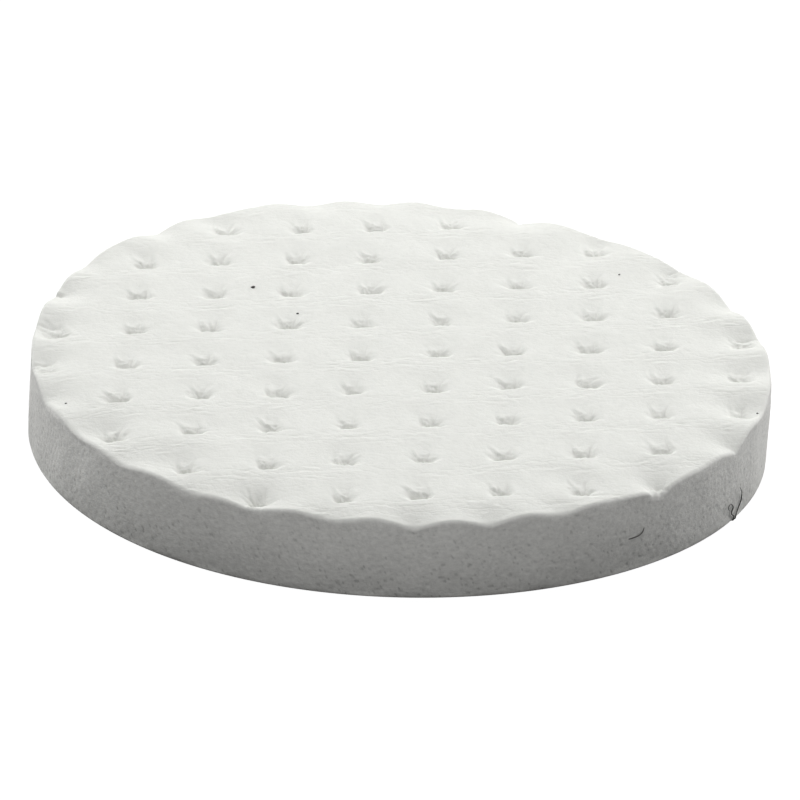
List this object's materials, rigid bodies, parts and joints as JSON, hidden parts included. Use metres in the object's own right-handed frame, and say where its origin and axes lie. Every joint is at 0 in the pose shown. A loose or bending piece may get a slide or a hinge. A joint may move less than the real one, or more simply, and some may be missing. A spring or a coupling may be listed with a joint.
{
  "type": "felt polishing wheel",
  "caption": "Thick round white felt polishing disc with a dimpled working face and a recessed loop backing that sticks to a hook-faced holder.",
  "frame": {"origin": "centre of the underside, on the plane that the loops rest on", "axes": "+Z along the wheel's axis towards the dimpled working face, +X along the rows of dimples"},
  "size_m": [0.1, 0.1, 0.0141],
  "materials": {
    "white_felt": "matt dense felt with fine open pores",
    "adhesive": "cured hot-melt film",
    "backing": "knitted nylon ground cloth",
    "loops": "brushed nylon loops",
    "loose_fibres": "single nylon fibres"
  },
  "bodies": {
    "root": {"felt_pad": "white_felt", "bond_film": "adhesive", "backing_cloth": "backing", "loop_pile": "loops", "edge_fibres": "loose_fibres", "wall_fibre": "loose_fibres"}
  },
  "joints": []
}
